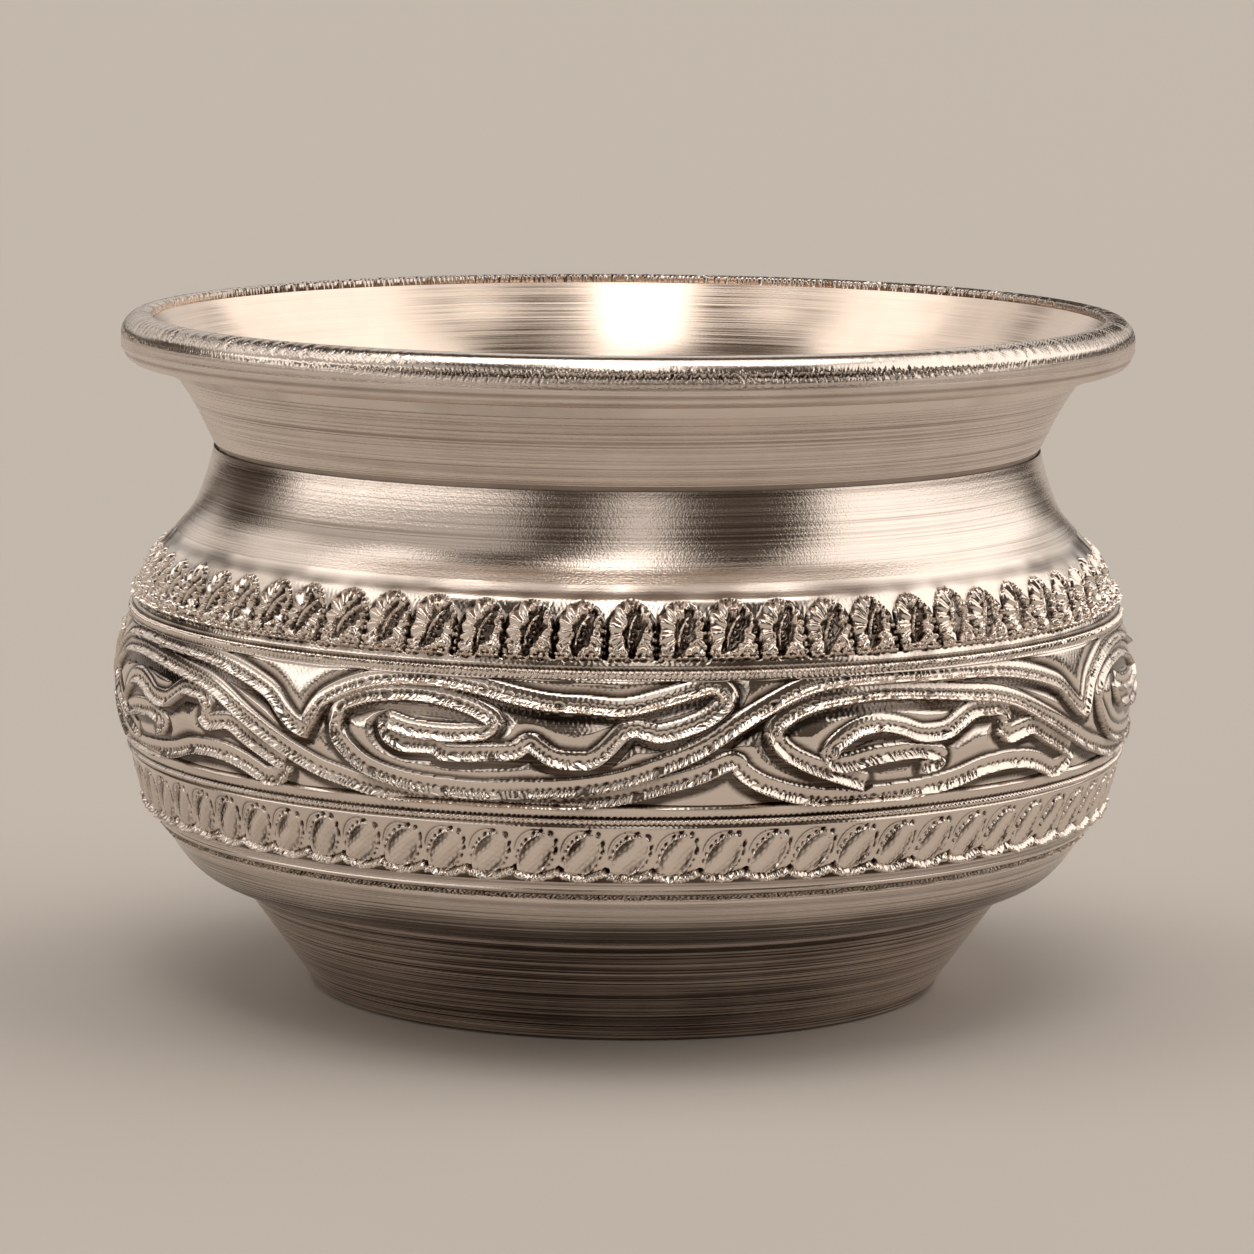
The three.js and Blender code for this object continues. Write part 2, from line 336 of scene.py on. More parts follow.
PAIR = 96.5           # degrees that one pair of leaves fills
SEEN = 84             # up to this angle the pattern is true, and beyond it is stretched to close
TICK_PITCH = 0.43     # from one punch mark to the next
LEAF = [(-36.2, 18.7), (-35.5, 19.3), (-34.2, 20.3), (-32.1, 21.0), (-28, 21.75), (-24, 22.05),
        (-20, 22.05), (-16, 21.8), (-12, 21.35), (-8, 21.0), (-4, 20.9), (0, 20.8), (4, 21.27),
        (8, 21.84), (9.3, 21.95), (10.5, 21.7), (10.8, 21.15), (9.9, 20.64), (8, 20.05),
        (4.8, 19.5), (3.4, 19.4), (2.2, 19.57), (1, 19.7), (0, 19.5), (-1.7, 18.6), (-3.3, 18),
        (-5.1, 17.9), (-7.5, 18.05), (-9.2, 18.6), (-9.9, 18.85), (-11.3, 18.4), (-14, 18.25),
        (-19.4, 18.15), (-20, 18.4), (-24, 18.5), (-25.6, 18.95), (-26, 19.4)]
SPIRAL = [(-10, 16.25), (-16, 16.1), (-22, 16.27), (-26, 16.65), (-28.5, 17.1), (-30.4, 17.8),
          (-31.7, 18.6), (-32, 19.4), (-31.4, 20.2), (-29, 20.8), (-26, 21.1), (-22, 21.2),
          (-18, 20.9), (-15.6, 20.5), (-13.8, 19.9), (-14.5, 19.45), (-17, 19.22), (-20, 19.17),
          (-23, 19.3), (-25.3, 19.6)]
UPPER_VINE = [(-14, 16.1), (-8, 16.3), (-4, 16.5), (0, 16.95), (4, 17.7), (8, 18.6), (12, 19.9),
              (16, 21.0), (19, 21.65), (22, 22.0), (28, 22.15), (36, 22.05), (42, 21.95),
              (46, 21.75), (50, 21.36), (53.5, 20.85), (55.5, 20.4), (57.3, 19.6), (59, 18.95),
              (60.3, 18.7)]
LOWER_VINE = [(26, 16.4), (22, 17.1), (19, 17.72), (17, 18.35), (15.9, 19.1), (16.1, 19.7),
              (18, 20.45), (21, 20.95), (24, 21.15), (28, 21.27), (34, 21.1), (40, 20.77),
              (44, 20.5), (47, 20.05), (52, 18.9), (58, 17.5), (62, 16.7), (65, 16.3),
              (69, 15.83), (75.9, 15.5), (84, 15.57), (92.5, 15.73), (96.5, 16.05),
              (100.5, 16.6), (104.5, 17.2), (107.9, 17.87), (108.6, 17.4), (110.5, 16.7),
              (114.5, 15.95), (118.5, 15.6), (124.5, 15.6), (130.5, 15.8), (134.5, 16.1),
              (138.5, 16.6), (144.1, 16.66), (147.2, 16.36), (149.6, 15.9), (151, 15.64),
              (153.4, 15.95), (154, 16.36)]
TAIL = [(33.5, 17.05), (35.2, 17.25), (35.4, 17.5), (33, 17.95), (30, 17.95), (27, 17.8),
        (23.5, 17.5), (22.1, 17.7), (22.1, 18.2), (23.5, 18.9), (25.5, 19.4), (28, 19.57),
        (30.5, 19.3), (33, 18.85), (36.4, 18.9), (38, 19.3), (40, 19.8), (42.2, 19.84),
        (44.2, 19.75), (44.9, 19.3), (44.9, 18.8)]
TAIL_BACK = [(44.4, 18.6), (45.4, 18.2), (47, 18.32), (49.3, 18.45), (52, 17.8), (54.5, 17.25),
             (57, 16.7)]
CREASES = [[(-24.5, 20.3), (-20, 20.2), (-16, 20.05), (-13.9, 19.9)],
           [(44.9, 19.3), (46.5, 18.9), (48.5, 18.8)],
           [(24, 16.5), (30, 16.35), (36, 16.5), (39, 16.9)],
           [(-30, 16.9), (-27, 16.25), (-23, 15.95)],
           [(22, 20.2), (27, 20.45), (33, 20.3), (38, 20.05)]]


class Tracing:
    """Distances to one line of the scroll, over the strip that one pair of leaves fills."""

    spacing = 0.05
    columns = round(PAIR * COLUMNS / 360)

    def __init__(self, points):
        """Walks along the smoothed line and marks the grid round each of its points."""
        flat = smooth_curve([(math.radians(angle) * MEAN_RADIUS, z) for angle, z in points], 12)
        curve = evenly(flat, self.spacing)
        travel = np.gradient(curve, axis=0)
        travel /= np.linalg.norm(travel, axis=1)[:, None]
        shape = (len(rows), self.columns)
        self.square = np.full(shape, 4.0)
        self.along = np.zeros(shape)
        self.aside = np.full(shape, 2.0)
        self.rightward = np.zeros(shape)
        self.length = len(curve) * self.spacing
        for place, (centre, way) in enumerate(zip(curve, travel)):
            self.mark(place * self.spacing, centre, way)

    def mark(self, travelled, centre, way, reach=18):
        """Takes the grid points round one point of the line whose nearest it is."""
        column_width = math.radians(PAIR / self.columns) * MEAN_RADIUS
        row = round((centre[1] - rows[0]) / ROW_STEP)
        column = round(centre[0] / column_width)
        low, high = max(row - reach, 0), min(row + reach + 1, len(rows))
        columns = np.arange(column - reach, column + reach + 1)
        x = (columns * column_width - centre[0])[None, :]
        y = (rows[low:high] - centre[1])[:, None]
        block = np.ix_(range(low, high), columns % self.columns)
        square = x ** 2 + y ** 2
        closer = square < self.square[block]
        self.square[block] = np.where(closer, square, self.square[block])
        ahead = travelled + x * way[0] + y * way[1]
        self.along[block] = np.where(closer, ahead, self.along[block])
        self.aside[block] = np.where(closer, y * way[0] - x * way[1], self.aside[block])
        self.rightward[block] = np.where(closer, way[0], self.rightward[block])


def line_profile(along, aside):
    """A flat strip where aside is positive, soft punch marks, and a glittering slope that ends
    in a crest with a steep drop behind."""
    wander = 0.3 * np.sin(1.7 * along) + 0.2 * np.sin(4.3 * along + 1)
    marks = teeth((along + 0.3 * aside) / TICK_PITCH + wander)
    strokes = teeth((along - 0.7 * aside) / (0.75 * TICK_PITCH) + 2 * wander)
    cutting = 0.1 + 0.08 * np.sin(2.3 * along + 2) * np.sin(0.9 * along)
    strip = 0.13 * hill(aside - 0.32, 0.34) ** 0.5
    punched = 0.1 * (1 - marks) ** 1.5 * bump(aside - 0.12, 0.08)
    slope = np.clip((0.1 - aside) / 0.38, 0, 1) * 0.3 + 0.08
    bead = slope * step(aside, -0.36, 0.03) * step(0.1, aside, 0.03)
    cut = cutting * (1 - strokes) * bump(aside + 0.08, 0.13)
    drop = 0.14 * bump(aside + 0.56, 0.13)
    return np.maximum(strip - punched, bead - cut) - drop


def roped(line):
    """The relief of one chased line, with its strip uppermost whichever way the line runs."""
    upright = step(line.rightward, 0, 0.3)
    relief = (line_profile(line.along, line.aside) * upright
              + line_profile(line.along, -line.aside) * (1 - upright))
    past = np.maximum(np.maximum(-line.along, line.along - line.length), 0)
    return relief * bump(past, 0.2)


def lay_scroll(surface):
    """The scroll's lines over a cushioned ground with creases, repeated round the bowl."""
    lines = [Tracing(points) for points in (LEAF, SPIRAL, UPPER_VINE, LOWER_VINE, TAIL, TAIL_BACK)]
    reliefs = [roped(line) for line in lines]
    away = np.sqrt(np.minimum.reduce([line.square for line in lines]))
    moat = -0.1 * bump(away - 0.55, 0.14)
    pillow = 0.17 * (1 - bump(np.maximum(away - 0.6, 0), 0.55))
    ground = moat + pillow + np.minimum(np.minimum.reduce(reliefs), 0)
    for points in CREASES:
        crease = Tracing(points)
        ground = ground - 0.12 * bump(np.sqrt(crease.square), 0.1)
    pair = np.maximum(np.maximum.reduce(reliefs), ground)
    beyond = np.abs(angles) - SEEN
    reached = SEEN + beyond * (2 * PAIR - SEEN) / (180 - SEEN)
    pattern = np.where(beyond < 0, angles, np.sign(angles) * reached)
    column = (pattern / PAIR % 1) * Tracing.columns
    first = np.floor(column).astype(int) % Tracing.columns
    share = column - np.floor(column)
    panel = pair[:, first] * (1 - share) + pair[:, (first + 1) % Tracing.columns] * share
    low, high = LOWER_BORDER[1], UPPER_BORDER[0]
    surface += panel * step(HEIGHT, low - 0.05, 0.05) * step(high + 0.03, HEIGHT, 0.05)


def chased_surface():
    """All the chasing of the belly, in the order in which its random draws are made."""
    surface = np.zeros(ANGLE.shape)
    lay_scroll(surface)
    lay_lower_petals(surface)
    lay_upper_petals(surface)
    lay_border(surface, LOWER_BORDER, 0.17)
    lay_border(surface, UPPER_BORDER, 0.25)
    grain = 0.004 * ripple(ANGLE, HEIGHT, 40, 800, 22) * step(26.5, HEIGHT, 0.1)
    surface += 0.01 * ripple(ANGLE, HEIGHT, 12, 60, 1.5) + grain + swell(HEIGHT)
    return surface


# Meshes

def write_mesh(name, points, faces, finishes, finish_of_face, floats):
    """An object from points in millimetres and arrays of faces, shaded smooth."""
    mesh = bpy.data.meshes.new(name)
    mesh.vertices.add(len(points))
    mesh.vertices.foreach_set("co", (points * MM).astype(np.float32).ravel())
    corners = np.concatenate([part.ravel() for part in faces])
    sizes = np.concatenate([np.full(len(part), part.shape[1]) for part in faces])
    mesh.loops.add(len(corners))
    mesh.loops.foreach_set("vertex_index", corners.astype(np.int32))
    mesh.polygons.add(len(sizes))
    mesh.polygons.foreach_set("loop_start", np.r_[0, np.cumsum(sizes)[:-1]].astype(np.int32))
    mesh.polygons.foreach_set("use_smooth", np.ones(len(sizes), bool))
    for finish in finishes:
        mesh.materials.append(finish)
    mesh.polygons.foreach_set("material_index", finish_of_face.astype(np.int32))
    for label, values in floats.items():
        mesh.attributes.new(label, "FLOAT", "POINT").data.foreach_set("value", values)
    mesh.update(calc_edges=True)
    mesh.set_sharp_from_angle(angle=math.radians(60))
    piece = bpy.data.objects.new(name, mesh)
    bpy.context.scene.collection.objects.link(piece)
    return piece


def turned(name, section, finishes, changes=(), relief=None, dark=None,
           start=-180, end=180, columns=PLAIN_COLUMNS, open_middle=False):
    """A ring, or a sector of one, turned from a closed section of radius and height that runs
    anticlockwise with the axis on its left. The rows of faces named in changes begin the next
    finish. With open_middle the section runs from disc to disc and flat discs close it."""
    section = np.asarray(section, float)
    whole = end - start >= 360
    count = round(columns * (end - start) / 360) + (0 if whole else 1)
    turn = np.radians(start + np.arange(count) * 360 / columns)[None, :]
    ahead = np.roll(section, -1, 0) - section
    ahead /= np.linalg.norm(ahead, axis=1)[:, None] ** 3
    travel = ahead + np.roll(ahead, 1, 0)
    travel /= np.linalg.norm(travel, axis=1)[:, None]
    lifted = np.zeros((len(section), 1)) if relief is None else relief
    radius = section[:, :1] + lifted * travel[:, 1:]
    height = section[:, 1:] - lifted * travel[:, :1]
    points = np.stack([radius * np.sin(turn), -radius * np.cos(turn), height + 0 * turn], -1)
    row, column = np.meshgrid(np.arange(len(section) - open_middle),
                              np.arange(count if whole else count - 1), indexing="ij")
    row, column = row.ravel(), column.ravel()
    above, beside = (row + 1) % len(section), (column + 1) % count
    sides = np.stack([row * count + column, row * count + beside,
                      above * count + beside, above * count + column], 1)
    faces = [sides]
    finish = np.searchsorted(changes, row, side="right")
    if open_middle:
        ring = np.arange(count)
        faces.append(np.stack([ring[::-1], ring + (len(section) - 1) * count]))
        finish = np.r_[finish, 0, 0]
    if not whole:
        loop = np.arange(len(section)) * count
        faces.append(np.stack([loop[::-1], loop + count - 1]))
        finish = np.r_[finish, len(changes), len(changes)]
    run = np.r_[0, np.cumsum(np.linalg.norm(np.diff(section, axis=0), axis=1))] * MM
    floats = {"run": np.repeat(run, count).astype(np.float32)}
    # dark is painted light and shade, stored on the points for the metal's colour
    if dark is not None:
        floats["painted_light_and_shade"] = dark.ravel().astype(np.float32)
    return write_mesh(name, points.reshape(-1, 3), faces, finishes, finish, floats)


# Materials

def new_material(name):
    material = bpy.data.materials.new(name)
    material.use_nodes = True
    nodes = material.node_tree.nodes
    return material, nodes, material.node_tree.links, nodes["Principled BSDF"]


def noise_node(nodes, links, place, stretch, detail, rough):
    mapping = nodes.new("ShaderNodeMapping")
    mapping.inputs["Scale"].default_value = stretch
    noise = nodes.new("ShaderNodeTexNoise")
    noise.inputs["Scale"].default_value = 1.0
    noise.inputs["Detail"].default_value = detail
    noise.inputs["Roughness"].default_value = rough
    links.new(place, mapping.inputs["Vector"])
    links.new(mapping.outputs["Vector"], noise.inputs["Vector"])
    return noise.outputs["Fac"]


def ramp_node(nodes, links, value, low, high, low_to, high_to):
    ramp = nodes.new("ShaderNodeMapRange")
    for socket, number in (("From Min", low), ("From Max", high), ("To Min", low_to),
                           ("To Max", high_to)):
        ramp.inputs[socket].default_value = number
    links.new(value, ramp.inputs["Value"])
    return ramp.outputs["Result"]


def math_node(nodes, links, kind, first, second):
    node = nodes.new("ShaderNodeMath")
    node.operation = kind
    for socket, value in zip(node.inputs, (first, second)):
        if isinstance(value, (int, float)):
            socket.default_value = value
        else:
            links.new(value, socket)
    return node.outputs[0]


def mix_colour(nodes, links, share, first, second):
    node = nodes.new("ShaderNodeMix")
    node.data_type = "RGBA"
    links.new(share, node.inputs["Factor"])
    for socket, value in ((node.inputs[6], first), (node.inputs[7], second)):
        if isinstance(value, tuple):
            socket.default_value = (*value, 1)
        else:
            links.new(value, socket)
    return node.outputs[2]


def spun_place(nodes, links):
    """Coordinates that change slowly round the axis and fast along the section."""
    axes = nodes.new("ShaderNodeSeparateXYZ")
    links.new(nodes.new("ShaderNodeTexCoord").outputs["Object"], axes.inputs[0])
    run = nodes.new("ShaderNodeAttribute")
    run.attribute_name = "run"
    joined = nodes.new("ShaderNodeCombineXYZ")
    links.new(axes.outputs["X"], joined.inputs["X"])
    links.new(axes.outputs["Y"], joined.inputs["Y"])
    links.new(run.outputs["Fac"], joined.inputs["Z"])
    return joined.outputs["Vector"]


# Scales of the noise in a metal, per metre: strokes are long round the axis and fine along z
FINE_STROKES = (22, 22, 12000)
COARSE_STROKES = (32, 32, 2800)
CLOUDS = (170, 170, 170)
PITS = (8000, 8000, 8000)
MICROMETRE = 1e-6


def metal(name, bright, dark, share, roughness, brushing, pitting, streaks, directed=0.0):
    """White metal brushed round the axis: a share of the bright colour among the dark one,
    parted by streaks and by painted light and shade from an attribute (darker in hollows and
    shaded places, lighter where it is negative). brushing and pitting are depths in
    micrometres, and directed is how far the gloss is drawn out across the strokes."""
    material, nodes, links, shader = new_material(name)
    spun = spun_place(nodes, links)
    solid = nodes.new("ShaderNodeTexCoord").outputs["Object"]
    fine = noise_node(nodes, links, spun, FINE_STROKES, 2.0, 0.6)
    coarse = noise_node(nodes, links, spun, COARSE_STROKES, 4.0, 0.7)
    clouds = noise_node(nodes, links, solid, CLOUDS, 3.0, 0.55)
    pits = noise_node(nodes, links, solid, PITS, 2.0, 0.6)
    for pattern, weight in ((fine, 3.6 * streaks), (coarse, 0.8 * streaks), (clouds, 0.7)):
        part = ramp_node(nodes, links, pattern, 0.0, 1.0, -weight / 2, weight / 2)
        share = math_node(nodes, links, "ADD", part, share)
    # Painted light and shade: the attribute darkens hollows and shaded places, and lightens where it
    # is negative
    painted_light_and_shade = nodes.new("ShaderNodeAttribute")
    painted_light_and_shade.attribute_name = "painted_light_and_shade"
    share = math_node(nodes, links, "SUBTRACT", share, painted_light_and_shade.outputs["Fac"])
    links.new(mix_colour(nodes, links, share, dark, bright), shader.inputs["Base Color"])
    shader.inputs["Metallic"].default_value = 1.0
    if directed:
        shader.inputs["Anisotropic"].default_value = directed
        tangent = nodes.new("ShaderNodeTangent")
        tangent.direction_type = "RADIAL"
        tangent.axis = "Z"
        links.new(tangent.outputs["Tangent"], shader.inputs["Tangent"])
    strokes = math_node(nodes, links, "ADD", fine, math_node(nodes, links, "MULTIPLY", coarse, 0.7))
    worn = ramp_node(nodes, links, strokes, 0.65, 1.05, roughness * 0.5, roughness * 1.5)
    links.new(worn, shader.inputs["Roughness"])
    relief = math_node(nodes, links, "MULTIPLY", strokes, brushing)
    speckle = math_node(nodes, links, "MULTIPLY", pits, pitting)
    normal = nodes.new("ShaderNodeBump")
    normal.inputs["Strength"].default_value = 1.0
    normal.inputs["Distance"].default_value = MICROMETRE
    links.new(math_node(nodes, links, "ADD", relief, speckle), normal.inputs["Height"])
    links.new(normal.outputs["Normal"], shader.inputs["Normal"])
    return material


SILVER = (0.84, 0.745, 0.67)
SATIN = (0.86, 0.77, 0.70)
INSIDE = (0.87, 0.735, 0.63)
GREYED = (0.40, 0.33, 0.285)
FOOT_GREY = (0.78, 0.66, 0.575)
# FOOT_DARK carries the foot's dark streaks and its painted shade
FOOT_DARK = (0.09, 0.065, 0.05)
DISH_DARK = (0.20, 0.155, 0.125)
# Dark colour of painted shade in the hollows of the chasing and the rim's cuts
HOLLOW_SHADE = (0.055, 0.035, 0.024)
SOLDER = (0.72, 0.62, 0.54)
# Dark of the solder: the joint's own darker tone, and painted shade in its pits and in the shaded
# joins
GRIME_AND_SHADE = (0.10, 0.07, 0.05)

polished = metal("white_metal_polished", SILVER, GREYED, 0.85, 0.14, 5.5, 12.0, 0.7, 0.3)
chased = metal("white_metal_chased", SILVER, HOLLOW_SHADE, 1.05, 0.12, 1.8, 3.0, 0.1)
satin = metal("white_metal_satin", SATIN, GREYED, 0.7, 0.28, 6, 4.0, 1.0, 0.3)
hem_metal = metal("white_metal_hem", SATIN, DISH_DARK, 0.74, 0.23, 5, 5.0, 0.9, 0.3)
foot_metal = metal("white_metal_foot", FOOT_GREY, FOOT_DARK, 0.5, 0.22, 6, 3.0, 1.2, 0.3)
inside = metal("white_metal_inside", INSIDE, GREYED, 0.9, 0.18, 1.5, 1.0, 0.2, 0.3)
bright_cut = metal("white_metal_bright_cut", SILVER, HOLLOW_SHADE, 0.95, 0.16, 1, 5.0, 0.1)
rim_face = metal("white_metal_rim_face", SATIN, GREYED, 0.85, 0.32, 1.5, 12.0, 0.2)
solder = metal("solder", SOLDER, GRIME_AND_SHADE, 0.8, 0.35, 2, 14.0, 0.3)
dark_solder = metal("solder_in_shade", GREYED, GRIME_AND_SHADE, 0.7, 0.35, 6, 8.0, 1.0)


# Pieces

def hold(piece, node):
    """Ties a dressed piece to the body and the solid that it stands for."""
    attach(piece, "root")
    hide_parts(node)


def make_chased_belly():
    """The chased zones, the wide ones in sectors. The recesses of the relief are darker with painted
    shade.
    """
    surface = chased_surface()
    # Painted shade: darker where the surface lies below its blurred surroundings
    shade = np.clip((blurred(surface, 6) - surface) * 13 + (blurred(surface, 20) - surface) * 3,
                    0, 0.97)
    outline = np.stack([np.interp(rows, BODY[:, 1], BODY[:, 0]), rows], 1)
    lining = parallel(outline, WALL)
    zones = [("lower_petals", rows[0], LOWER_BORDER[0], 3),
             ("lower_border", LOWER_BORDER[0], LOWER_BORDER[1], 1),
             ("scroll", LOWER_BORDER[1], UPPER_BORDER[0], 6),
             ("upper_border", UPPER_BORDER[0], UPPER_BORDER[1], 1),
             ("upper_petals", UPPER_BORDER[1], rows[-1], 3)]
    for zone, bottom, top, sectors in zones:
        first, last = (int(np.argmin(np.abs(rows - height))) for height in (bottom, top))
        inner = np.unique(np.r_[np.arange(first, last, LINING_STRIDE), last])[::-1]
        section = np.vstack([outline[first:last + 1], lining[inner]])
        outer_rows = last + 1 - first
        for sector in range(sectors):
            start = -180 + 360 * sector / sectors
            count = COLUMNS // sectors + (sectors > 1)
            picked = (np.arange(count) + COLUMNS * sector // sectors) % COLUMNS
            relief = np.zeros((len(section), count))
            relief[:outer_rows] = surface[first:last + 1, picked]
            dark = np.zeros(relief.shape)
            dark[:outer_rows] = shade[first:last + 1, picked]
            name = f"belly_{zone}" + (f"_{sector + 1}" if sectors > 1 else "")
            piece = turned(name, section, [chased, inside], [outer_rows - 1], relief, dark,
                           start, start + 360 / sectors, COLUMNS)
            hold(piece, "belly_shell")


def make_plain_belly():
    """The polished shoulder and the hem below the petals, with a bright edge at the solder."""
    for name, low, high, finish in (("belly_shoulder", rows[-1], WAIST_HEIGHT, polished),
                                    ("belly_hem", SEAM_HEIGHT + SEAM_GAP / 2, rows[0], hem_metal)):
        outer = between(BODY, low, high, 0.05)
        section = np.vstack([outer, parallel(outer, WALL)[::LINING_STRIDE][::-1]])
        relief = np.zeros((len(section), PLAIN_COLUMNS))
        height = outer[:, 1:]
        edge = 0.13 * hill(height - SEAM_HEIGHT - 0.31, 0.15)
        relief[:len(outer)] = swell(height) + edge
        dark = np.zeros(relief.shape)
        # Painted shade on the shoulder just under the waist
        dark[:len(outer)] = 0.5 * step(height, 31.85, 0.15)
        piece = turned(name, section, [finish, inside], [len(outer) - 1], relief, dark)
        hold(piece, "belly_shell")


def make_dish():
    """The plain lower sheet with its tongues, whose corners are the solid model's."""
    outer = between(BODY, CREASE[1], SEAM_HEIGHT - SEAM_GAP / 2)
    lap = [(26.853, 10.258), (27.723, 12.061), (27.076, 12.327), (26.246, 10.606)]
    lining = parallel(outer, WALL)[::-1]
    lining = lining[(lining[:, 0] > 23.9) & (lining[:, 0] < 26.3)]
    tongue = [(22.074, 7.575), (20.755, 5.753), (21.321, 5.342), (22.436, 6.881)]
    inner_face = smooth_curve([lap[-1], *lining[::6], (24.055, 7.422)], 6)[1:]
    section = np.vstack([outer, lap, inner_face, tongue])
    height = section[:, 1:]
    on_face = (np.arange(len(section))[:, None] < len(outer)) * np.ones((1, PLAIN_COLUMNS))
    relief = 0.07 * hill(height - 9.62, 0.22) * on_face
    # Painted shade darkening the dish towards the crease, and painted light brightening it near the
    # seam
    dark = (0.65 * step(8.2, height, 0.45) - 0.2 * step(height, 9.0, 0.3)) * on_face
    piece = turned("dish", section, [hem_metal, inside], [len(outer) + 1], relief, dark)
    hold(piece, "base_dish")


def make_foot():
    """The tapered pan, with painted shade: darkest in front, where it faces the shaded floor,
    and under the crease, with painted highlights along the lathe lines.
    """
    rim = smooth_curve([(18.3, 0), (18.6, 0.08), (18.82, 0.3), (FOOT_RADIUS, 0.6)], 5)
    cone = evenly(np.array([(FOOT_RADIUS, 0.6), (22.924, 6.157)]), 0.06)[1:]
    underside = evenly(np.array([(0.5, 0.0), (18.3, 0.0)]), 2.0)[:-1]
    well = [(22.357, 6.568), (21.419, 5.272), (18.108, 0.7)]
    floor = evenly(np.array([(18.108, 0.7), (0.5, 0.7)]), 2.0)[1:]
    section = np.vstack([underside, rim, cone, well, floor])
    outer_rows = len(underside) + len(rim) + len(cone)
    on_cone = (section[:, :1] > FOOT_RADIUS) & (np.arange(len(section))[:, None] < outer_rows)
    grooves = sum(bump(section[:, 1:] - line, 0.06) for line in LATHE_LINES)
    relief = -0.02 * grooves * on_cone * np.ones((1, PLAIN_COLUMNS))
    turn = np.arange(PLAIN_COLUMNS)[None, :] * 360 / PLAIN_COLUMNS - 180
    # Painted shade: darker low on the cone, under the crease and in front; painted highlights along
    # the lathe lines
    shade = 0.2 * step(2.4, section[:, 1:], 1.0) + 0.4 * bump(section[:, 1:] - 6.3, 0.9)
    dark = (shade - 0.5 + 0.68 * bump(turn, 48) - 0.5 * grooves) * on_cone
    piece = turned("foot", section, [foot_metal, inside], [outer_rows], relief, dark,
                   open_middle=True)
    hold(piece, "foot_pan")


def make_belly_seam():
    """The solder between dish and belly, raised, ragged and pitted."""
    columns = SEAM_COLUMNS
    face = between(BODY, SEAM_HEIGHT - SEAM_GAP / 2, SEAM_HEIGHT + SEAM_GAP / 2, 0.03)
    inner = [(27.118, 10.485), (27.834, 12.016), (27.723, 12.061), (26.853, 10.258)]
    turn = np.arange(columns)[None, :] * 360 / columns - 180
    height = face[:, 1:]
    grains = ripple(turn, height, 40, 900, 60)
    wander = 0.06 * ripple(turn, 0, 10, 90, 0) + 0.04 * ripple(turn, 0, 10, 400, 0)
    crust = (0.07 + 0.08 * grains) * hill(height - SEAM_HEIGHT - wander, 0.2)
    relief = np.zeros((len(face) + len(inner), columns))
    relief[:len(face)] = np.maximum(crust, 0)
    dark = np.zeros(relief.shape)
    # An even darkening of the solder, and painted shade in its low grains
    dark[:len(face)] = np.clip(0.4 - 0.7 * grains, 0, 0.95)
    piece = turned("belly_seam", np.vstack([face, inner]), [solder], (), relief, dark,
                   columns=columns)
    hold(piece, "belly_solder")


def make_collar():
    """The flared collar and its tongue, whose corners are the solid model's."""
    outer = evenly(COLLAR, 0.2)
    lip = [(28.230, 39.606)]
    lining = smooth_curve([*lip, (27.362, 38.420), (26.470, 37.211), (25.643, 36.023),
                           (25.045, 35.037), (24.614, 34.211), (24.05, 33.1), (23.4, 32.2),
                           (23.15, 31.4), (23.381, 30.307)], 8)[1:]
    tongue = [(24.068, 30.442), (23.757, 31.993), (23.757, 32.5)]
    section = np.vstack([outer, lip, lining, tongue])
    piece = turned("collar", section, [satin, inside], [len(outer)])
    hold(piece, "mouth_collar")


def rim_relief(profile, turn):
    """Fine crescents, about three to the millimetre, over the rim and some way down its outer
    face. They are worn away at the front, where a ragged groove full of grains ends them."""
    turn = turn[None, :]
    run = np.r_[0, np.cumsum(np.linalg.norm(np.diff(profile, axis=0), axis=1))][:, None]
    across = run[np.argmax(profile[:, 1])] + 0.25 - run
    lean = 0.75 * across + 0.5 * across ** 2
    phase = (np.radians(turn) * RIM_RADIUS + lean) / 0.3 + 0.3 * ripple(turn, 0, 8, 160, 0)
    kept = step(np.abs(turn - 6), 34, 10)
    ragged = 0.08 * ripple(turn, 0, 10, 700, 0) + 0.05 * ripple(turn, 0, 10, 1500, 0)
    end = 1.95 + ragged - 0.35 * kept
    cut = (0.008 + 0.065 * kept) * (1 + 0.4 * ripple(turn, 0, 6, 300, 0)) * (phase % 1)
    crescents = -cut * step(across, -0.7, 0.05) * step(end, across, 0.05 + 0.12 * kept)
    grains = step(ripple(turn, across, 30, 1100, 22), 0.7, 0.2)
    strip = bump(across - 2.12 - ragged, 0.2) * (1 - 0.85 * kept)
    lip = 0.05 * bump(profile[:, 1:] - 38.25, 0.18) - 0.06 * bump(profile[:, 1:] - 37.9, 0.13)
    return crescents + (0.17 * grains - 0.12) * strip + lip * (profile[:, :1] > RIM_RADIUS)


